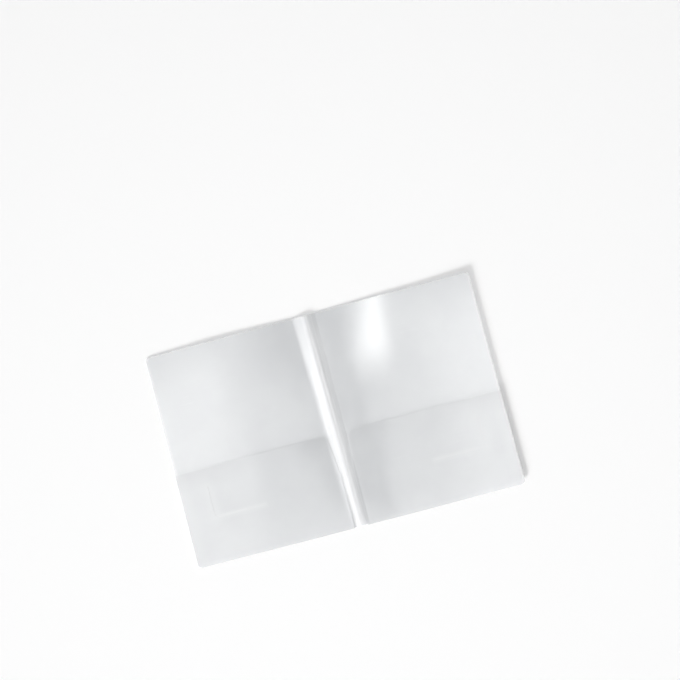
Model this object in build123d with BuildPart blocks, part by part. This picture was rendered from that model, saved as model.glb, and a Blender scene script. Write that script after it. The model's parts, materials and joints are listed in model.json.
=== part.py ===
# Two pocket folder of thin polypropylene sheet, lying open with its inside up.
# X runs across the open folder, Y along the spine, Z up. The origin is on the table, under the middle.
# The back half lies on the +X side and is drawn here. The front half is its mirror image.
import os

from build123d import *

# Driving dimensions, in millimetres
sheet = 0.45
cover_width = 223.0
folder_height = 298.0
corner_radius = 5.0

# Spine strip, a low roof with a rounded ridge, and the living hinges beside it
spine_width = 14.0
spine_rise = 1.2
ridge_radius = 8.0
crease_clearance = 0.1

# Pockets: clear depth, height of the mouth, and the edge beside the spine
pocket_gap = 4.3
pocket_height = 131.0
pocket_foot_setback = 2.5
pocket_mouth_setback = 9.0
notch_depth = 55.0
notch_bend_radius = 60.0
mouth_inner_radius = 8.0
mouth_outer_radius = 2.0

# Outer margin of a pocket: the slope down to the cover and the welded land
slope_width = 18.0
weld_land = 1.0
weld_melt = 0.1
weld_strip_width = 3.0
weld_end_inset = 3.0

# Card slit in a pocket wall: an L with its corner placed from the cover's outer and bottom edges
slit_width = 0.8
slit_outer_inset = 40.0
slit_rise = 63.0
slit_length = 70.0
slit_height = 42.0
slit_bend_radius = 4.0
slit_end_radius = 1.0

# Number of stretches in the tapered end of a pocket fold
taper_stretches = 6

# Places worked out from the sizes above
crease_x = spine_width / 2
cover_inner = crease_x + sheet / 2 + crease_clearance
cover_outer = crease_x + cover_width
spine_end = crease_x - sheet / 2 - crease_clearance
bottom_edge = -folder_height / 2
top_edge = folder_height / 2
fold_line = bottom_edge + pocket_gap / 2 + sheet
panel_length = top_edge - fold_line
pocket_top = bottom_edge + pocket_height
pocket_foot_x = crease_x + pocket_foot_setback
pocket_mouth_x = crease_x + pocket_mouth_setback
fold_end = cover_outer - corner_radius
weld_x = fold_end - weld_land
slope_x = weld_x - slope_width
panel_level = sheet + pocket_gap
land_level = sheet + weld_melt
slit_corner_x = cover_outer - slit_outer_inset
slit_corner_y = bottom_edge + slit_rise

# Planes across the spine, at the ends where strips that run along Y start
top_plane = Plane.XZ.offset(-top_edge)
mouth_plane = Plane.XZ.offset(-pocket_top)

# Middle line of a pocket's outer margin: two equal bends from the pocket wall down to the welded land
wall_end = Vector(slope_x, panel_level + sheet / 2)
land_start = Vector(weld_x, land_level + sheet / 2)
slope_middle = (wall_end + land_start) / 2
with BuildLine() as slope:
    upper_bend = TangentArc(wall_end, slope_middle, tangent=(1, 0))
    TangentArc(slope_middle, land_start, tangent=upper_bend % 1)


def fold_section(across, clear_gap):
    # Half ring of sheet, at this distance from the spine, that joins the cover to the wall above it
    centre = (fold_line, sheet + clear_gap / 2)
    with BuildSketch(Plane.YZ.offset(across)) as section:
        with BuildLine():
            outside = CenterArc(centre, clear_gap / 2 + sheet, 90, 180)
            inside = CenterArc(centre, clear_gap / 2, 90, 180)
            Line(outside @ 0, inside @ 0)
            Line(outside @ 1, inside @ 1)
        make_face()
    return section.sketch


def export_pair(piece, name):
    piece.label = f"back_{name}"
    export_step(piece, f"parts/back_{name}.step")
    mirrored = mirror(piece, about=Plane.YZ)
    mirrored.label = f"front_{name}"
    export_step(mirrored, f"parts/front_{name}.step")


os.makedirs("parts", exist_ok=True)

# Cover panel, with its two outer corners rounded
with BuildPart() as cover:
    with BuildSketch():
        with BuildLine():
            Polyline(
                (cover_inner, fold_line),
                (cover_outer, fold_line),
                (cover_outer, top_edge),
                (cover_inner, top_edge),
                close=True,
            )
        make_face()
        fillet(vertices().group_by(Axis.X)[-1], radius=corner_radius)
    extrude(amount=sheet)
export_pair(cover.part, "cover")

# Crease, the round web of a living hinge, on the line that the cover turns about
with BuildPart() as crease:
    with BuildSketch(top_plane):
        with Locations((crease_x, sheet / 2)):
            Circle(sheet / 2)
    extrude(amount=panel_length)
export_pair(crease.part, "crease")

# Spine strip: two flanks that lean together from crease to crease, scored along the ridge
with BuildPart() as spine:
    with BuildSketch(top_plane):
        with BuildLine():
            FilletPolyline(
                (-spine_end, sheet / 2),
                (0, sheet / 2 + spine_rise),
                (spine_end, sheet / 2),
                radius=ridge_radius,
            )
        trace(line_width=sheet)
    extrude(amount=panel_length)
spine.part.label = "spine_panel"
export_step(spine.part, "parts/spine_panel.step")

# Pocket wall: its inner edge leans away from the spine towards the mouth, and a slit holds a card
with BuildPart() as pocket_panel:
    with BuildSketch(Plane.XY.offset(panel_level)):
        with BuildLine():
            Polyline(
                (pocket_foot_x, fold_line),
                (slope_x, fold_line),
                (slope_x, pocket_top),
                (pocket_mouth_x, pocket_top),
                (pocket_foot_x, pocket_top - notch_depth),
                close=True,
            )
        make_face()
        rows = vertices().group_by(Axis.Y)
        mouth_corner = rows[-1].sort_by(Axis.X)[0]
        notch_bend = rows[-2][0]
        fillet(mouth_corner, radius=mouth_inner_radius)
        fillet(notch_bend, radius=notch_bend_radius)
        with BuildLine() as slit:
            FilletPolyline(
                (slit_corner_x - slit_length, slit_corner_y),
                (slit_corner_x, slit_corner_y),
                (slit_corner_x, slit_corner_y + slit_height),
                radius=slit_bend_radius,
            )
        trace(line_width=slit_width, mode=Mode.SUBTRACT)
        with Locations(slit.line @ 0, slit.line @ 1):
            Circle(slit_end_radius, mode=Mode.SUBTRACT)
    extrude(amount=sheet)
export_pair(pocket_panel.part, "pocket_panel")

# Outer margin of the pocket: slopes down from the wall, then lies flat over the weld
with BuildPart() as pocket_side:
    with BuildSketch(mouth_plane):
        with BuildLine():
            add(slope.line)
            Line(land_start, (cover_outer, land_start.Y))
        trace(line_width=sheet)
    extrude(amount=pocket_top - fold_line)
    with BuildSketch():
        with BuildLine():
            Polyline(
                (slope_x, fold_line),
                (cover_outer, fold_line),
                (cover_outer, pocket_top),
                (slope_x, pocket_top),
                close=True,
            )
        make_face()
        outer_corners = vertices().group_by(Axis.X)[-1].sort_by(Axis.Y)
        fillet(outer_corners[0], radius=corner_radius)
        fillet(outer_corners[1], radius=mouth_outer_radius)
    extrude(amount=panel_level + sheet, mode=Mode.INTERSECT)
export_pair(pocket_side.part, "pocket_side")

# Fold along the bottom edge: a half round bend, pinched down to the weld at its outer end
slope_wire = slope.wires()[0]
slope_points = [slope_wire @ (stretch / taper_stretches) for stretch in range(taper_stretches + 1)]
taper_sections = [fold_section(point.X, point.Y - sheet / 2 - sheet) for point in slope_points]
with BuildPart() as pocket_fold:
    extrude(fold_section(pocket_foot_x, pocket_gap), amount=slope_x - pocket_foot_x)
    loft(taper_sections)
    extrude(fold_section(weld_x, weld_melt), amount=weld_land)
export_pair(pocket_fold.part, "pocket_fold")

# Weld seam, the melted strip between the margin and the cover
weld_start = fold_line + corner_radius
weld_end = pocket_top - weld_end_inset
with BuildPart() as weld_seam:
    with BuildSketch(Plane.XY.offset(sheet)):
        with Locations(((weld_x + cover_outer) / 2, (weld_start + weld_end) / 2)):
            SlotOverall(weld_end - weld_start, weld_strip_width, rotation=90)
    extrude(amount=weld_melt)
export_pair(weld_seam.part, "weld_seam")
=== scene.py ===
import json
import math

import bmesh
import bpy
import numpy as np
from mathutils import Matrix, Vector


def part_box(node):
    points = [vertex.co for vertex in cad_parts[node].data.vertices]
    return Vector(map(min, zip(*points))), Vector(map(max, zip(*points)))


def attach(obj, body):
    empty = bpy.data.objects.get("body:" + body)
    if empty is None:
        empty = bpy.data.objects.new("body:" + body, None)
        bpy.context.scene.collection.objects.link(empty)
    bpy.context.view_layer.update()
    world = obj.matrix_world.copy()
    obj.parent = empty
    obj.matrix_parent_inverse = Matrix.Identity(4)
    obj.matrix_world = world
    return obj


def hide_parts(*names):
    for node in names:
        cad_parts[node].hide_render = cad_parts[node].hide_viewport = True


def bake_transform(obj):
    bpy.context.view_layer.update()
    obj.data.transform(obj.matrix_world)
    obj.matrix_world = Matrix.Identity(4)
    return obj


# Clear two pocket folder, lying open with its inside up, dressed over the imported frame.
# All lengths are in metres.
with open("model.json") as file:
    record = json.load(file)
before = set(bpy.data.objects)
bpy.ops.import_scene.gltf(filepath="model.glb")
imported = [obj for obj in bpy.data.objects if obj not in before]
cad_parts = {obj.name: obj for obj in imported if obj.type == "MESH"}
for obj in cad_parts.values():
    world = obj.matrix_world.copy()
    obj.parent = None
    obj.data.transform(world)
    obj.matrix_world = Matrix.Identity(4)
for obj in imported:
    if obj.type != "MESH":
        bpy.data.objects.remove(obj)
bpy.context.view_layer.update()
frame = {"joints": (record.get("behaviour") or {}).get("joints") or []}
scene = bpy.context.scene
scene.view_settings.view_transform = "Standard"
mm = 0.001

# Places on the +X half, read from the frame. The other half is its mirror image.
coverLow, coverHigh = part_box("back_cover")
wallLow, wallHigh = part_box("back_pocket_panel")
foldLow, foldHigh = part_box("back_pocket_fold")
weldLow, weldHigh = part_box("back_weld_seam")
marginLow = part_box("back_pocket_side")[0]
hingeX, hingeZ = frame["joints"][0]["pos_m"][0], frame["joints"][0]["pos_m"][2]
sheetThick = coverHigh.z - coverLow.z
middleZ = sheetThick / 2  # height of a sheet's middle where it lies flat
bottomEdge, topEdge = foldLow.y, coverHigh.y
coverOuter, foldEnd = coverHigh.x, foldHigh.x
cornerRadius = coverOuter - foldEnd
footX, slopeX, mouthY = wallLow.x, wallHigh.x, wallHigh.y
weldMiddle = (weldLow.x + weldHigh.x) / 2
weldX = 2 * weldMiddle - coverOuter  # where the flat welded land starts
landGap = marginLow.z - coverLow.z  # between the middles of the two layers at the weld
halves = ((1, "back", "back_half"), (-1, "front", "front_half"))  # side of the spine, name and body
print("frame read: sheet", round(sheetThick / mm, 2), "mm, cover to", round(coverOuter / mm, 1), "mm")


def ease(value, low, high):
    share = min(max((value - low) / (high - low), 0), 1)
    return share * share * (3 - 2 * share)


def linkObject(name, data):
    obj = bpy.data.objects.new(name, data)
    scene.collection.objects.link(obj)
    return obj


def linkMesh(name, mesh):
    # Turns the faces of a bmesh one way and links an object that holds it
    bmesh.ops.recalc_face_normals(mesh, faces=mesh.faces[:])
    data = bpy.data.meshes.new(name)
    mesh.to_mesh(data)
    mesh.free()
    return linkObject(name, data)


def settle(obj):
    # Turns an object with its modifiers into a plain mesh
    depsgraph = bpy.context.evaluated_depsgraph_get()
    evaluated = obj.evaluated_get(depsgraph)
    mesh = bpy.data.meshes.new_from_object(evaluated, preserve_all_data_layers=True, depsgraph=depsgraph)
    old = obj.data
    obj.modifiers.clear()
    obj.data = mesh
    bpy.data.meshes.remove(old)
    mesh.name = obj.name


def keepAttribute(obj, name, values):
    attribute = obj.data.attributes.new(name, "FLOAT", "POINT")
    attribute.data.foreach_set("value", np.array(values, np.float32))


# Camera, almost straight above, turned so that the folder leans to the left. The tilt is in degrees.
cameraPlace = {"location": (0.0741, 0.0492, 1.2946), "tilt": (1.92, 2.21, -14.94), "lens": 50, "sensor": 36}
cameraData = bpy.data.cameras.new("camera")
cameraData.lens, cameraData.sensor_width = cameraPlace["lens"], cameraPlace["sensor"]
camera = linkObject("camera", cameraData)
camera.location = cameraPlace["location"]
camera.rotation_euler = [math.radians(angle) for angle in cameraPlace["tilt"]]
scene.camera = camera


# Nodes that the materials, the lamps and the node trees share
def wire(tree, socket, value):
    if isinstance(value, bpy.types.NodeSocket):
        tree.links.new(value, socket)
    else:
        socket.default_value = value


def mathNode(tree, operation, *values):
    node = tree.nodes.new("ShaderNodeMath")
    node.operation = operation
    for socket, value in zip(node.inputs, values):
        wire(tree, socket, value)
    return node.outputs[0]


def fadeNode(tree, value, edges, ends=(0, 1)):
    # Runs smoothly from one end to the other while the value goes from edge to edge
    node = tree.nodes.new("ShaderNodeMapRange")
    node.interpolation_type = "SMOOTHSTEP"
    wire(tree, node.inputs["Value"], value)
    for socket, number in zip(("From Min", "From Max", "To Min", "To Max"), (*edges, *ends)):
        node.inputs[socket].default_value = number
    return node.outputs["Result"]


def mixColours(tree, share, first, second):
    node = tree.nodes.new("ShaderNodeMix")
    node.data_type = "RGBA"
    for socket, value in (("Factor", share), ("A", first), ("B", second)):
        wire(tree, node.inputs[socket], value)
    return node.outputs["Result"]


def noiseAt(tree, coordinates, size, detail, stretch=1, turn=0):
    mapping = tree.nodes.new("ShaderNodeMapping")
    mapping.inputs["Rotation"].default_value = (0, 0, math.radians(turn))
    mapping.inputs["Scale"].default_value = (1 / (size * stretch), 1 / size, 1 / size)
    tree.links.new(coordinates, mapping.inputs["Vector"])
    noise = tree.nodes.new("ShaderNodeTexNoise")
    noise.inputs["Scale"].default_value = 1
    noise.inputs["Detail"].default_value = detail
    tree.links.new(mapping.outputs["Vector"], noise.inputs["Vector"])
    return noise.outputs["Fac"]


def attributeAt(tree, name):
    node = tree.nodes.new("ShaderNodeAttribute")
    node.attribute_name = name
    return node.outputs["Fac"]


# Materials. Every finish of the folder is the same plastic, more or less whitened, so one function makes all.
def frostedPlastic(name, look):
    material = bpy.data.materials.new(name)
    material.use_nodes = True
    tree = material.node_tree
    shader = tree.nodes["Principled BSDF"]
    coordinates = tree.nodes.new("ShaderNodeTexCoord").outputs["Object"]
    # The second attribute holds painted shade, which greys the pocket wall towards its mouth
    wear, paintedShade = attributeAt(tree, "wear"), attributeAt(tree, "paintedShade")

    cloud = noiseAt(tree, coordinates, look["cloudSize"], detail=3)
    frost = noiseAt(tree, coordinates, look["frostSize"], detail=2)
    peel = noiseAt(tree, coordinates, look["peelSize"], detail=1)

    # Scuffs: hairlines that lie one way and only show in some areas
    lie = {"stretch": look["scuffStretch"], "turn": look["scuffTurn"]}
    hairline = noiseAt(tree, coordinates, look["scuffWidth"], detail=2, **lie)
    area = noiseAt(tree, coordinates, look["scuffArea"], detail=1)
    inArea = fadeNode(tree, area, look["areaEdges"])
    scuff = mathNode(tree, "MULTIPLY", fadeNode(tree, hairline, look["scuffEdges"]), inArea)

    # Colour: cloudy clear sheet, whitened by scuffs, cuts and folds, and greyed by painted shade under the
    # pocket mouths
    clear = mixColours(tree, fadeNode(tree, cloud, look["cloudEdges"]), look["colour"], look["cloudColour"])
    worn = mathNode(tree, "MULTIPLY", wear, fadeNode(tree, frost, look["frostEdges"], look["frostWear"]))
    worn = mathNode(tree, "MAXIMUM", worn, mathNode(tree, "MULTIPLY", scuff, look["scuffWhite"]))
    whitened = mixColours(tree, worn, clear, look["wornColour"])
    # Painted shade: the colour is mixed towards dark grey where that attribute is set
    tree.links.new(mixColours(tree, paintedShade, whitened, look["paintedShadeColour"]), shader.inputs["Base Color"])

    # Gloss: a little uneven, duller along scuffs and worn edges
    rough = fadeNode(tree, cloud, look["roughEdges"], look["roughness"])
    rough = mathNode(tree, "MULTIPLY_ADD", scuff, look["scuffRough"], rough)
    rough = mathNode(tree, "MULTIPLY_ADD", wear, look["wornRough"], rough)
    tree.links.new(rough, shader.inputs["Roughness"])

    # Relief: fine frosting over a long soft ripple, with the scuffs sunk in
    relief = mathNode(tree, "MULTIPLY_ADD", frost, look["frostHeight"] / look["peelHeight"], peel)
    relief = mathNode(tree, "MULTIPLY_ADD", scuff, -look["scuffDepth"], relief)
    bump = tree.nodes.new("ShaderNodeBump")
    bump.inputs["Strength"].default_value = 1
    bump.inputs["Distance"].default_value = look["peelHeight"]
    tree.links.new(relief, bump.inputs["Height"])
    tree.links.new(bump.outputs["Normal"], shader.inputs["Normal"])

    shader.inputs["Alpha"].default_value = look["alpha"]
    shader.inputs["IOR"].default_value = look["ior"]
    shader.inputs["Specular IOR Level"].default_value = look["specular"]
    return material


clearLook = {
    "colour": (0.75, 0.763, 0.78, 1), "cloudColour": (0.775, 0.788, 0.803, 1),
    # the last colour here is the dark grey of the painted shade under the pocket mouths
    "wornColour": (0.93, 0.935, 0.94, 1), "paintedShadeColour": (0.25, 0.254, 0.26, 1),
    "alpha": 0.52, "ior": 1.5, "specular": 1.0,
    "cloudSize": 70 * mm, "cloudEdges": (0.35, 0.65), "roughEdges": (0.3, 0.7), "roughness": (0.065, 0.105),
    "frostSize": 0.7 * mm, "frostHeight": 0.002 * mm, "frostEdges": (0.3, 0.7), "frostWear": (0.75, 1),
    "peelSize": 9 * mm, "peelHeight": 0.006 * mm, "wornRough": 0.15,
    "scuffWidth": 0.6 * mm, "scuffStretch": 60, "scuffTurn": 24, "scuffEdges": (0.62, 0.72),
    "scuffArea": 60 * mm, "areaEdges": (0.5, 0.65),
    "scuffWhite": 0.25, "scuffRough": 0.12, "scuffDepth": 0.2,  # depth as a share of the peel's height
}
spineLook = dict(clearLook, colour=(0.78, 0.79, 0.805, 1), cloudColour=(0.81, 0.82, 0.835, 1), scuffTurn=88)
edgeLook = dict(clearLook, colour=(0.86, 0.87, 0.875, 1), cloudColour=(0.92, 0.925, 0.93, 1))
edgeLook.update(alpha=0.8, roughness=(0.3, 0.45))
weldLook = dict(clearLook, colour=(0.85, 0.855, 0.86, 1), cloudColour=(0.9, 0.9, 0.905, 1))
weldLook.update(alpha=0.75, roughness=(0.2, 0.35))
clearSheet = frostedPlastic("clearSheet", clearLook)
whitenedSheet = frostedPlastic("whitenedSheet", spineLook)
cutEdge = frostedPlastic("cutEdge", edgeLook)
weldMelt = frostedPlastic("weldMelt", weldLook)
print("materials made:", len(bpy.data.materials))


# Geometry node trees: how they start, how they end and how an object takes one
def startTree(name, inputs):
    tree = bpy.data.node_groups.new(name, "GeometryNodeTree")
    tree.interface.new_socket("Geometry", in_out="OUTPUT", socket_type="NodeSocketGeometry")
    for label, kind in inputs.items():
        tree.interface.new_socket(label, in_out="INPUT", socket_type="NodeSocket" + kind)
    return tree, tree.nodes.new("NodeGroupInput").outputs


def endTree(tree, geometry, material):
    realize = tree.nodes.new("GeometryNodeRealizeInstances")
    tree.links.new(geometry, realize.inputs[0])
    finish = tree.nodes.new("GeometryNodeSetMaterial")
    tree.links.new(realize.outputs[0], finish.inputs["Geometry"])
    tree.links.new(material, finish.inputs["Material"])
    tree.links.new(finish.outputs[0], tree.nodes.new("NodeGroupOutput").inputs[0])
    return tree


def addTree(obj, tree, values):
    modifier = obj.modifiers.new(tree.name, "NODES")
    modifier.node_group = tree
    for item in tree.interface.items_tree:
        if item.in_out == "INPUT" and item.name in values:
            modifier[item.identifier] = values[item.name]


# The spine stands up as a soft roof when the folder lies open.
# One node tree raises the strip and both covers beside it.
roofShape = {
    "Left Foot Bottom": 11 * mm, "Left Foot Top": 18.5 * mm,
    "Right Foot Bottom": 12.5 * mm, "Right Foot Top": 12.8 * mm,
    "Left Slope": 0.13, "Right Slope": 0.151, "Ridge Softness": 1.3 * mm, "Left Foot Softness": 0.7 * mm,
    "Apron Width": 7 * mm, "Apron Slope": 0.015, "Apron Softness": 0.05 * mm,
    "Bottom": bottomEdge, "Top": topEdge,
}


def makeRoofTree():
    sizes = dict.fromkeys(roofShape, "Float")
    tree, given = startTree("spineRoof", {"Geometry": "Geometry", **sizes, "Sheet": "Material"})
    place = tree.nodes.new("ShaderNodeSeparateXYZ")
    tree.links.new(tree.nodes.new("GeometryNodeInputPosition").outputs[0], place.inputs[0])
    x, y = place.outputs["X"], place.outputs["Y"]

    def footAt(end):
        # Where a foot lies at this place along the spine
        foot = tree.nodes.new("ShaderNodeMapRange")
        tree.links.new(y, foot.inputs["Value"])
        ends = {
            "From Min": "Bottom", "From Max": "Top",
            "To Min": end + " Foot Bottom", "To Max": end + " Foot Top",
        }
        for socket, size in ends.items():
            tree.links.new(given[size], foot.inputs[socket])
        return foot.outputs["Result"]

    leftFlank = mathNode(tree, "MULTIPLY", mathNode(tree, "ADD", footAt("Left"), x), given["Left Slope"])
    leftFlank = mathNode(tree, "SMOOTH_MAX", leftFlank, 0.0, given["Left Foot Softness"])

    # The right flank ends on a crease, and a flatter apron runs out from there
    reach = mathNode(tree, "SUBTRACT", footAt("Right"), x)
    apronRise = mathNode(tree, "MULTIPLY", given["Apron Slope"], given["Apron Width"])
    rightFlank = mathNode(tree, "MULTIPLY_ADD", reach, given["Right Slope"], apronRise)
    apron = mathNode(tree, "MULTIPLY_ADD", reach, given["Apron Slope"], apronRise)
    apron = mathNode(tree, "SMOOTH_MAX", apron, 0.0, given["Apron Softness"])
    rightFlank = mathNode(tree, "MAXIMUM", rightFlank, apron)

    roof = mathNode(tree, "SMOOTH_MIN", leftFlank, rightFlank, given["Ridge Softness"])
    rise = tree.nodes.new("ShaderNodeCombineXYZ")
    tree.links.new(roof, rise.inputs["Z"])
    move = tree.nodes.new("GeometryNodeSetPosition")
    tree.links.new(given["Geometry"], move.inputs["Geometry"])
    tree.links.new(rise.outputs[0], move.inputs["Offset"])
    return endTree(tree, move.outputs[0], given["Sheet"])


def rightFoot(y):
    share = (y - bottomEdge) / (topEdge - bottomEdge)
    return roofShape["Right Foot Bottom"] * (1 - share) + roofShape["Right Foot Top"] * share


roofTree = makeRoofTree()


# Outlines and flat panels
cutTolerance = 1e-7


def roundedOutline(corners, steps=8):
    # Each corner is x, y and a radius, counter-clockwise
    points = []
    for index, (x, y, radius) in enumerate(corners):
        corner = Vector((x, y))
        if radius == 0:
            points.append(corner)
            continue
        back = (Vector(corners[index - 1][:2]) - corner).normalized()
        ahead = (Vector(corners[(index + 1) % len(corners)][:2]) - corner).normalized()
        half = back.angle(ahead) / 2
        centre = corner + (back + ahead).normalized() * radius / math.sin(half)
        arm = corner + back * radius / math.tan(half) - centre
        turn = math.copysign(math.pi - 2 * half, back.cross(ahead) * -1)
        for step in range(steps + 1):
            angle = turn * step / steps
            points.append(centre + Matrix.Rotation(angle, 2) @ arm)
    return points


def addPanel(mesh, outline, level, border):
    face = mesh.faces.new([mesh.verts.new((point.x, point.y, level)) for point in outline])
    bmesh.ops.inset_individual(mesh, faces=[face], thickness=border, use_even_offset=True)


def cutThrough(mesh, place, facing):
    everything = mesh.verts[:] + mesh.edges[:] + mesh.faces[:]
    bmesh.ops.bisect_plane(mesh, geom=everything, plane_co=place, plane_no=facing, dist=cutTolerance)


def cutGrid(mesh, xCuts, yCuts):
    for cut in xCuts:
        cutThrough(mesh, (cut, 0, 0), (1, 0, 0))
    for cut in yCuts:
        cutThrough(mesh, (0, cut, 0), (0, 1, 0))


def cutAlong(mesh, start, end):
    run = end - start
    cutThrough(mesh, start.to_3d(), (run.y, -run.x, 0))


def evenCuts(low, high, step):
    count = max(round((high - low) / step), 1)
    return [low + (high - low) * index / count for index in range(1, count)]


def thicken(obj):
    # Both sides of the sheet get the first material, its cut edges the second
    solid = obj.modifiers.new("thickness", "SOLIDIFY")
    solid.thickness, solid.offset = sheetThick, 0
    solid.use_even_offset = True
    solid.material_offset_rim = 1


def shadeSheet(obj, sharpAngle=40):
    obj.data.shade_smooth()
    obj.data.set_sharp_from_angle(angle=math.radians(sharpAngle))


# One half of the folder: cover, bottom fold, pocket wall and welded margin are one sheet, die-cut and folded
halfShape = {
    "gridAcross": 4 * mm, "gridAlong": 6 * mm, "slopeGrid": 1.5 * mm,
    "creaseGrid": 0.4 * mm, "roofGrid": 0.5 * mm, "roofEnd": 22 * mm, "foldCut": 0.3 * mm,
    "border": 1.2 * mm, "merge": 0.004 * mm, "bendReach": 2.4 * mm, "creaseWidth": 0.04 * mm,
    "mouthSetback": 9 * mm, "mouthInnerRadius": 8 * mm, "mouthOuterRadius": 2 * mm,
    "notchDepth": 55 * mm, "notchBend": 60 * mm,
    "edgeCurl": 0.3 * mm, "curlStart": 110 * mm, "cornerStart": (140 * mm, 20 * mm),
    "ripple": 0.09 * mm, "rippleAcross": 120 * mm, "rippleAlong": 700 * mm, "rippleFade": (18 * mm, 60 * mm),
    "foldGap": 1.3 * mm, "foldSteps": 10, "taperStart": 60 * mm, "restReach": 90 * mm, "restShare": 0.04,
    "gape": 0.55 * mm, "gapeStart": 30 * mm, "gapeRidge": 70 * mm, "gapeEnd": 170 * mm,
    "gapeSoftness": 0.15, "gapeFall": 1.5, "wallRipple": 0.05 * mm, "wallRippleLength": 74 * mm,
}
sideShape = {  # no two sheets spring open alike
    1: {"spring": 2.0 * mm, "topBow": 0, "cornerCurl": 0.4 * mm, "phase": 0.6, "wallPhase": 0.9},
    -1: {"spring": 0.2 * mm, "topBow": 1.0 * mm, "cornerCurl": -0.35 * mm, "phase": 2.3, "wallPhase": 3.45},
}
slitShape = {
    "outerInset": 40 * mm, "rise": 63 * mm, "length": 70 * mm, "height": 42 * mm, "width": 0.4 * mm,
    "bend": 4 * mm, "bendSteps": 8, "endRadius": 0.8 * mm, "endSteps": 14,
    "whitening": 2.0 * mm, "cutterHeight": 4 * mm,
}
wallGap = halfShape["foldGap"] + sheetThick  # an empty pocket springs nearer to the cover than a full one
foldLine = bottomEdge + halfShape["foldGap"] / 2 + sheetThick
mouthX = hingeX + halfShape["mouthSetback"]
slitCorner = Vector((coverOuter - slitShape["outerInset"], bottomEdge + slitShape["rise"]))
slitTop = slitCorner + Vector((0, slitShape["height"]))
slitEnd = slitCorner - Vector((slitShape["length"], 0))
coverLayer, wallLayer = 0.0, 1.0  # levels that tell the two layers apart until their heights are set

coverOutline = roundedOutline([
    (hingeX, foldLine, 0),
    (coverOuter, foldLine, cornerRadius),
    (coverOuter, topEdge, cornerRadius),
    (hingeX, topEdge, 0),
])
wallOutline = roundedOutline([
    (footX, foldLine, 0),
    (coverOuter, foldLine, cornerRadius),
    (coverOuter, mouthY, halfShape["mouthOuterRadius"]),
    (mouthX, mouthY, halfShape["mouthInnerRadius"]),
    (footX, mouthY - halfShape["notchDepth"], halfShape["notchBend"]),
])


def clearanceAt(x, y):
    # Between the middles of cover and wall: full at the fold, less towards the mouth, closed at the weld
    across = 1 - ease(x, halfShape["taperStart"], weldX)
    along = 1 - (1 - halfShape["restShare"]) * ease(y, foldLine, foldLine + halfShape["restReach"])
    return landGap + (wallGap - landGap) * across * along


def liftAt(x, y, side):
    # The crease springs the cover up a little, its top edge bows, free edges curl and the sheet ripples
    shape, own = halfShape, sideShape[side]
    outward = max(x - hingeX, 0) / (coverOuter - hingeX)
    bow = own["topBow"] * math.sin(math.pi * min(outward, 1)) * ease(y, 0, topEdge)
    curl = shape["edgeCurl"] * ease(x, shape["curlStart"], coverOuter) ** 2
    cornerX, cornerY = shape["cornerStart"]
    corner = own["cornerCurl"] * ease(x, cornerX, coverOuter) * ease(y, cornerY, topEdge)
    turns = x / shape["rippleAcross"] + side * y / shape["rippleAlong"]
    ripple = shape["ripple"] * (1 + math.sin(2 * math.pi * turns + own["phase"]))
    return own["spring"] * outward + bow + curl + corner + ripple * ease(x, *shape["rippleFade"])


def gapeAt(x, y, side):
    # The pocket wall bows up a little under its mouth, most a third of the way out, and ripples
    shape = halfShape
    up = ease(y, foldLine + shape["gapeStart"], mouthY)
    rise = (x - mouthX) / (shape["gapeRidge"] - mouthX)
    share = min(max((x - shape["gapeRidge"]) / (shape["gapeEnd"] - shape["gapeRidge"]), 0), 1)
    fall = (1 - share) ** shape["gapeFall"]
    bow = max((rise + fall - math.hypot(rise - fall, shape["gapeSoftness"])) / 2, 0)
    free = 1 - ease(x, shape["taperStart"], slopeX)
    ripple = math.sin(2 * math.pi * x / shape["wallRippleLength"] + sideShape[side]["wallPhase"])
    return up * (shape["gape"] * bow + shape["wallRipple"] * free * ripple)


def slitOutline():
    # L shaped cut with a round bend and a round hole at each end
    shape, half = slitShape, slitShape["width"] / 2
    centre = slitCorner + Vector((-shape["bend"], shape["bend"]))

    def holeAt(end, heading):
        reach = math.pi - math.asin(half / shape["endRadius"])
        points = []
        for step in range(shape["endSteps"] + 1):
            angle = heading - reach + 2 * reach * step / shape["endSteps"]
            points.append(end + shape["endRadius"] * Vector((math.cos(angle), math.sin(angle))))
        return points

    def bendAt(radius):
        angles = [math.pi / 2 * step / shape["bendSteps"] for step in range(shape["bendSteps"] + 1)]
        return [centre + radius * Vector((math.sin(angle), -math.cos(angle))) for angle in angles]

    lowerSide, upperSide = bendAt(shape["bend"] + half), bendAt(shape["bend"] - half)
    return lowerSide + holeAt(slitTop, math.pi / 2) + upperSide[::-1] + holeAt(slitEnd, math.pi)


def makeSlitCutter(side):
    # Starts half way between the layers, so that only the wall is cut
    mesh = bmesh.new()
    bottom = []
    for x, y in slitOutline():
        bottom.append(mesh.verts.new((side * x, y, middleZ + liftAt(x, y, side) + clearanceAt(x, y) / 2)))
    raised = bmesh.ops.extrude_face_region(mesh, geom=[mesh.faces.new(bottom)])["geom"]
    top = [item for item in raised if isinstance(item, bmesh.types.BMVert)]
    bmesh.ops.translate(mesh, vec=(0, 0, slitShape["cutterHeight"]), verts=top)
    return linkMesh("slitCutter", mesh)


def gridCuts():
    # Fine beside the spine and on the slope to the weld, with lines along the fold and both sides of the slit
    shape, aside = halfShape, slitShape["whitening"]
    xCuts = evenCuts(hingeX, footX, shape["creaseGrid"]) + [footX]
    xCuts += evenCuts(footX, shape["roofEnd"], shape["roofGrid"])
    xCuts += evenCuts(shape["roofEnd"], slopeX, shape["gridAcross"]) + [slopeX]
    xCuts += evenCuts(slopeX, weldX, shape["slopeGrid"]) + [weldX, foldEnd]
    xCuts += [slitCorner.x - aside, slitCorner.x + aside]
    yCuts = [foldLine + shape["foldCut"]] + evenCuts(foldLine, topEdge, shape["gridAlong"])
    yCuts += [slitCorner.y - aside, slitCorner.y + aside]
    return sorted(xCuts), sorted(yCuts)


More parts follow.
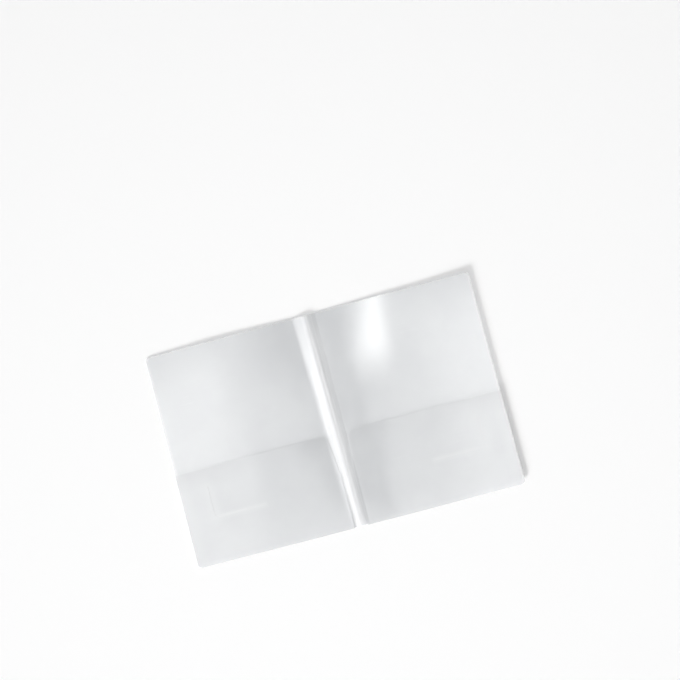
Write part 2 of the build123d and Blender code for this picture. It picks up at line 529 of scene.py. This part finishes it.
def addFold(mesh, side, xCuts):
    # Half round fold along the bottom, pinched towards the weld
    steps = halfShape["foldSteps"]
    foldCuts = [cut for cut in xCuts if footX - cutTolerance <= cut <= foldEnd + cutTolerance]
    rows = []
    for x in foldCuts:
        radius = clearanceAt(x, foldLine) / 2
        middle = middleZ + liftAt(x, foldLine, side) + radius
        row = []
        for step in range(steps + 1):
            angle = math.pi * step / steps
            y, z = foldLine - radius * math.sin(angle), middle - radius * math.cos(angle)
            row.append(mesh.verts.new((x, y, z)))
        rows.append(row)
    for near, far in zip(rows, rows[1:]):
        for step in range(steps):
            mesh.faces.new((near[step], far[step], far[step + 1], near[step + 1]))


def makeHalf(side, name):
    xCuts, yCuts = gridCuts()
    mesh = bmesh.new()
    addPanel(mesh, coverOutline, coverLayer, halfShape["border"])
    addPanel(mesh, wallOutline, wallLayer, halfShape["border"])
    cutGrid(mesh, xCuts, yCuts)
    if side == 1:  # a line for the crease at the roof's right foot
        cutAlong(mesh, Vector((rightFoot(bottomEdge), bottomEdge)), Vector((rightFoot(topEdge), topEdge)))
    for vert in mesh.verts:
        x, y, layer = vert.co
        vert.co.z = middleZ + liftAt(x, y, side)
        if layer > wallLayer / 2:
            vert.co.z += clearanceAt(x, y) + gapeAt(x, y, side)
    addFold(mesh, side, xCuts)
    bmesh.ops.remove_doubles(mesh, verts=mesh.verts[:], dist=halfShape["merge"])
    for vert in mesh.verts:
        vert.co.x *= side
    half = linkMesh(name, mesh)
    addTree(half, roofTree, dict(roofShape, Sheet=clearSheet))
    settle(half)
    half.data.materials.append(cutEdge)
    thicken(half)
    cutter = makeSlitCutter(side)
    cut = half.modifiers.new("cardSlit", "BOOLEAN")
    cut.operation, cut.solver, cut.object = "DIFFERENCE", "EXACT", cutter
    settle(half)
    bpy.data.objects.remove(cutter)
    shadeSheet(half)

    # That crease stays sharp
    reach = halfShape["creaseWidth"]
    onCrease = [abs(vert.co.x - rightFoot(vert.co.y)) < reach for vert in half.data.vertices]
    for edge in half.data.edges:
        if all(onCrease[index] for index in edge.vertices):
            edge.use_edge_sharp = True
    return half


# Wear of the halves: whitening at cut edges, along the slit and round the fold, and painted shade greying the
# wall under the mouth
wearShape = {
    "coverEdge": 0.45, "creaseEdge": 0.2, "wallEdge": 0.12, "mouthReach": 1 * mm,
    "slitCore": 1.3, "slitAcross": 0.55, "slitAlong": 0.36,
    "haze": 0.35, "hazeReach": 16 * mm, "hazeFall": 1.5, "margin": 0.3, "marginStart": 6 * mm,
    "fold": 0.35, "foldStart": 0.5 * mm, "foldFade": 0.6 * mm, "foldReach": 2 * mm,
}
# Painted shade along the pocket mouths: how deep, how far down the wall, and how it runs across
mouthShadePaint = {
    "depth": 0.13, "reach": 30 * mm, "leastShare": 0.1, "innerShare": 0.5,
    "inner": (35 * mm, 60 * mm), "outer": (110 * mm, 170 * mm),
}


def distanceTo(points, line):
    # From each point to the nearest stretch of a line, in the plane of the table
    starts, ends = np.array(line[:-1], float), np.array(line[1:], float)
    best = np.full(len(points), np.inf)
    for start, end in zip(starts, ends):
        run = end - start
        share = np.clip((points - start) @ run / (run @ run), 0, 1)
        best = np.minimum(best, np.linalg.norm(points - start - share[:, None] * run, axis=1))
    return best


def fadeFrom(distance, reach):
    return np.clip(1 - distance / reach, 0, 1)


def shadeShareAt(x):
    # Painted shade under the mouth: deepest towards its outer end, less beside the spine, and never quite
    # gone
    beside = mouthShadePaint["innerShare"] * (1 - ease(x, *mouthShadePaint["inner"]))
    return max(ease(x, *mouthShadePaint["outer"]), beside, mouthShadePaint["leastShare"])


def paintWear(obj, side):
    shape, border = wearShape, halfShape["border"]
    co = np.array([vert.co for vert in obj.data.vertices])
    flat = co[:, :2] * (side, 1)
    x, y = flat.T
    lift = np.array([liftAt(*point, side) for point in flat])
    gap = np.array([clearanceAt(*point) for point in flat])
    onWall = (co[:, 2] - lift > middleZ + gap / 2) & (y < mouthY + shape["mouthReach"])

    coverEdge = shape["coverEdge"] * fadeFrom(distanceTo(flat, coverOutline[1:-1]), border)
    creaseEdge = shape["creaseEdge"] * fadeFrom(np.abs(x - hingeX), border)
    wallEdge = shape["wallEdge"] * fadeFrom(distanceTo(flat, wallOutline[1:] + wallOutline[:1]), border)
    cut, aside = slitOutline(), slitShape["whitening"]
    slit = np.clip(shape["slitCore"] - distanceTo(flat, cut + cut[:1]) / aside, 0, 1)
    slit *= np.where(y < slitCorner.y + aside, shape["slitAcross"], shape["slitAlong"])
    haze = fadeFrom(distanceTo(flat, [slitCorner, slitTop]), shape["hazeReach"]) ** shape["hazeFall"]
    marginStart = slopeX + shape["marginStart"]
    margin = shape["margin"] * np.clip((x - marginStart) / (weldX - marginStart), 0, 1)
    wallWear = np.maximum.reduce((wallEdge, slit, shape["haze"] * haze, margin))
    wear = np.where(onWall, wallWear, np.maximum(coverEdge, creaseEdge))

    # Beside the fold nothing is whiter than the fold itself
    wear = np.where(y < foldLine + shape["foldReach"], np.minimum(wear, shape["fold"]), wear)
    fold = shape["fold"] * np.clip((foldLine + shape["foldStart"] - y) / shape["foldFade"], 0, 1)
    keepAttribute(obj, "wear", np.maximum(wear, fold))

    # Painted shade: the pocket wall greys towards its mouth edge, fading over the reach below it
    shadeShare = np.array([shadeShareAt(place) for place in x])
    paintedShade = mouthShadePaint["depth"] * shadeShare * np.clip(1 - (mouthY - y) / mouthShadePaint["reach"], 0, 1)
    keepAttribute(obj, "paintedShade", np.where(onWall, paintedShade, 0))


sheetNodes = ("cover", "crease", "pocket_panel", "pocket_side", "pocket_fold")
for side, name, body in halves:
    half = makeHalf(side, name + "Sheet")
    paintWear(half, side)
    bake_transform(half)
    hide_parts(*(f"{name}_{node}" for node in sheetNodes))
    print(half.name, len(half.data.polygons), "faces")


# Spine strip between the two score lines, whitened along its ridge and its edges
stripShape = {
    "gridAcross": 0.5 * mm, "gridAlong": 6 * mm, "edgeGap": 0.02 * mm,
    "ridgeWear": 0.3, "ridgeReach": 2 * mm, "edgeWear": 0.2, "edgeReach": 1.2 * mm,
}


def stripWear(across):
    ridge = stripShape["ridgeWear"] * (1 - ease(across, 0, stripShape["ridgeReach"]))
    return ridge + stripShape["edgeWear"] * ease(across, hingeX - stripShape["edgeReach"], hingeX)


def makeStrip():
    edge = hingeX - stripShape["edgeGap"]
    mesh = bmesh.new()
    outline = ((-edge, foldLine), (edge, foldLine), (edge, topEdge), (-edge, topEdge))
    mesh.faces.new([mesh.verts.new((x, y, middleZ)) for x, y in outline])
    xCuts = evenCuts(-edge, edge, stripShape["gridAcross"])
    cutGrid(mesh, xCuts, evenCuts(foldLine, topEdge, stripShape["gridAlong"]))
    strip = linkMesh("spineStrip", mesh)
    addTree(strip, roofTree, dict(roofShape, Sheet=whitenedSheet))
    settle(strip)
    strip.data.materials.append(cutEdge)
    thicken(strip)
    settle(strip)
    shadeSheet(strip)
    keepAttribute(strip, "wear", [stripWear(abs(vert.co.x)) for vert in strip.data.vertices])
    return strip


strip = makeStrip()
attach(strip, "spine")
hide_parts("spine_panel")
print(strip.name, len(strip.data.polygons), "faces")


# Weld: a row of melted bars between each margin and its cover
weldShape = {
    "Pitch": 1.6 * mm, "Bar Width": weldHigh.x - weldLow.x,
    "Bar Length": 0.9 * mm, "Bar Height": weldHigh.z - weldLow.z,
}
barSides = 12


def makeWeldTree():
    sizes = dict.fromkeys(weldShape, "Float")
    tree, given = startTree("weldBars", {**sizes, "Start": "Vector", "Run": "Float", "Melt": "Material"})
    count = mathNode(tree, "FLOOR", mathNode(tree, "DIVIDE", given["Run"], given["Pitch"]))
    step = tree.nodes.new("ShaderNodeCombineXYZ")
    tree.links.new(given["Pitch"], step.inputs["Y"])
    row = tree.nodes.new("GeometryNodeMeshLine")
    for socket, value in (("Count", count), ("Start Location", given["Start"]), ("Offset", step.outputs[0])):
        tree.links.new(value, row.inputs[socket])

    # A bar is a disc of one unit each way, stretched to its size
    bar = tree.nodes.new("GeometryNodeMeshCylinder")
    for socket, value in (("Vertices", barSides), ("Radius", 0.5), ("Depth", 1)):
        bar.inputs[socket].default_value = value
    size = tree.nodes.new("ShaderNodeCombineXYZ")
    for axis, name in (("X", "Bar Width"), ("Y", "Bar Length"), ("Z", "Bar Height")):
        tree.links.new(given[name], size.inputs[axis])
    place = tree.nodes.new("GeometryNodeInstanceOnPoints")
    tree.links.new(row.outputs["Mesh"], place.inputs["Points"])
    tree.links.new(bar.outputs["Mesh"], place.inputs["Instance"])
    tree.links.new(size.outputs[0], place.inputs["Scale"])
    return endTree(tree, place.outputs[0], given["Melt"])


weldTree = makeWeldTree()
weldStart, weldLevel = weldLow.y + weldShape["Bar Length"], (weldLow.z + weldHigh.z) / 2
for side, name, body in halves:
    bars = linkObject(name + "WeldBars", bpy.data.meshes.new(name + "WeldBars"))
    start = (side * weldMiddle, weldStart, weldLevel)
    addTree(bars, weldTree, dict(weldShape, Start=start, Run=weldHigh.y - weldStart, Melt=weldMelt))
    settle(bars)
    for vert in bars.data.vertices:
        vert.co.z += liftAt(abs(vert.co.x), vert.co.y, side)
    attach(bars, body)
    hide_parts(name + "_weld_seam")
    print(bars.name, len(bars.data.polygons), "faces")


# Floor, a wide sheet of pale paper
floorLook = {"reach": 4.0, "drop": 0.35 * mm, "colour": (0.98, 0.98, 0.98, 1), "rough": 0.9}
floorMesh = bpy.data.meshes.new("floor")
quarters = ((-1, -1), (1, -1), (1, 1), (-1, 1))
corners = [(x * floorLook["reach"], y * floorLook["reach"], -floorLook["drop"]) for x, y in quarters]
floorMesh.from_pydata(corners, [], [(0, 1, 2, 3)])
floor = linkObject("floor", floorMesh)
paper = bpy.data.materials.new("paper")
paper.use_nodes = True
paperShader = paper.node_tree.nodes["Principled BSDF"]
paperShader.inputs["Base Color"].default_value = floorLook["colour"]
paperShader.inputs["Roughness"].default_value = floorLook["rough"]
paperShader.inputs["Specular IOR Level"].default_value = 0
floorMesh.materials.append(paper)

# World: a plain white light, brighter where it is seen or mirrored
worldLook = {"colour": (1, 1, 1, 1), "light": 0.312, "mirrored": 0.776, "seen": 1.0}
world = bpy.data.worlds.new("studio")
scene.world = world
world.use_nodes = True
sky = world.node_tree
light = sky.nodes["Background"]
light.inputs["Color"].default_value = worldLook["colour"]
light.inputs["Strength"].default_value = worldLook["light"]
path = sky.nodes.new("ShaderNodeLightPath").outputs
direct = mathNode(sky, "MAXIMUM", path["Is Camera Ray"], path["Is Glossy Ray"])
direct = mathNode(sky, "MAXIMUM", direct, path["Is Transmission Ray"])
seen = sky.nodes.new("ShaderNodeBackground")
seen.inputs["Color"].default_value = worldLook["colour"]
strength = fadeNode(sky, path["Is Camera Ray"], (0, 1), (worldLook["mirrored"], worldLook["seen"]))
sky.links.new(strength, seen.inputs["Strength"])
blendSky = sky.nodes.new("ShaderNodeMixShader")
sky.links.new(direct, blendSky.inputs["Fac"])
sky.links.new(light.outputs[0], blendSky.inputs[1])
sky.links.new(seen.outputs[0], blendSky.inputs[2])
sky.links.new(blendSky.outputs[0], sky.nodes["World Output"].inputs["Surface"])

# Soft boxes, hung where the camera sees them mirrored in a patch of the sheet. Each has the patch's middle
# and size, how much of it the light takes to fade in from the left, right, bottom and top, the brightness
# against white paper and, where they aren't 0, the sheet's lean there and the box's turn, in degrees.
softBoxes = {
    "leftBox": {
        "patch": (-0.1725, -0.220), "size": (0.145, 0.76), "fade": (0, 0.55, 0, 0.12),
        "height": 2.4, "level": 2.3,
    },
    "leftSoft": {
        "patch": (-0.1445, 0.02), "size": (0.281, 0.38), "fade": (0, 0.256, 0, 0.1),
        "turn": 14, "height": 2.6, "level": 2.4,
    },
    "spineBox": {
        "patch": (-0.008, 0.02), "size": (0.070, 0.44), "fade": (0.25, 0.25, 0, 0),
        "lean": -7.4, "height": 9.0, "level": 3.0,
    },
    "rightBox": {
        "patch": (0.1685, -0.220), "size": (0.145, 0.76), "fade": (0.55, 0, 0, 0.13),
        "height": 2.4, "level": 2.25,
    },
    "rightSoft": {
        "patch": (0.1245, 0.0), "size": (0.243, 0.34), "fade": (0.296, 0, 0, 0.1),
        "turn": -10, "height": 2.6, "level": 2.3,
    },
    "lowBox": {
        "patch": (0.010, -0.115), "size": (0.32, 0.21), "fade": (0.3, 0.3, 0, 0.8),
        "height": 2.8, "level": 1.75,
    },
    "flankBox": {
        "patch": (0.284, -0.0575), "size": (0.05, 0.265), "fade": (0.3, 0.3, 0, 0.26),
        "height": 3.0, "level": 1.5,
    },
    "footBox": {
        "patch": (-0.009, 0.030), "size": (0.030, 0.085), "fade": (0.45, 0.45, 0.2, 0.45),
        "height": 2.9, "level": 2.6,
    },
    "window": {
        "patch": (0.0745, 0.160), "size": (0.061, 0.26), "fade": (0.44, 0.54, 0.23, 0),
        "turn": -10, "height": 2.2, "level": 8.2,
    },
}


def fadeRim(data, fade):
    data.use_nodes = True
    tree = data.node_tree
    place = tree.nodes.new("ShaderNodeSeparateXYZ")
    tree.links.new(tree.nodes.new("ShaderNodeNewGeometry").outputs["Parametric"], place.inputs[0])
    across, along = place.outputs["X"], place.outputs["Y"]
    inward = (across, mathNode(tree, "SUBTRACT", 1.0, across), along, mathNode(tree, "SUBTRACT", 1.0, along))
    strength = 1.0
    for distance, share in zip(inward, fade):
        if share:
            strength = mathNode(tree, "MULTIPLY", strength, fadeNode(tree, distance, (0, share)))
    tree.links.new(strength, tree.nodes["Emission"].inputs["Strength"])


for name, box in softBoxes.items():
    patch, lean = Vector((*box["patch"], 0)), math.radians(box.get("lean", 0))
    ray = (patch - camera.location).reflect(Vector((math.sin(lean), 0, math.cos(lean))))
    spread = 1 + box["height"] / camera.location.z
    data = bpy.data.lights.new(name, "AREA")
    data.shape = "RECTANGLE"
    data.size, data.size_y = (spread * length for length in box["size"])
    data.energy = box["level"] * math.pi * data.size * data.size_y
    fadeRim(data, box["fade"])
    lamp = linkObject(name, data)
    lamp.location = patch + ray * box["height"] / ray.z
    lamp.rotation_euler.z = math.radians(box.get("turn", 0))
    lamp.visible_camera = False

# Low soft light from the left. On the floor it comes from the lower left, for the shadow along the far edges.
lowLight = {
    "from": {"folder": (-0.9, -0.14, 0.34), "floor": (-0.64, -0.70, 0.25)},
    "softness": 14, "level": 1.196,
}
for target, direction in lowLight["from"].items():
    source = Vector(direction).normalized()
    data = bpy.data.lights.new(target + "Light", "SUN")
    data.energy = lowLight["level"] / source.z
    data.angle = math.radians(lowLight["softness"])
    lamp = linkObject(target + "Light", data)
    lamp.rotation_euler = (-source).to_track_quat("-Z", "Y").to_euler()
    lit = bpy.data.collections.new(target + "Lit")
    lit.objects.link(floor)
    lit.collection_objects[0].light_linking.link_state = "INCLUDE" if target == "floor" else "EXCLUDE"
    lamp.light_linking.receiver_collection = lit
scene.cycles.transparent_max_bounces = 32  # enough for all the clear layers of the closed folder
print("lamps:", len(softBoxes) + len(lowLight["from"]))
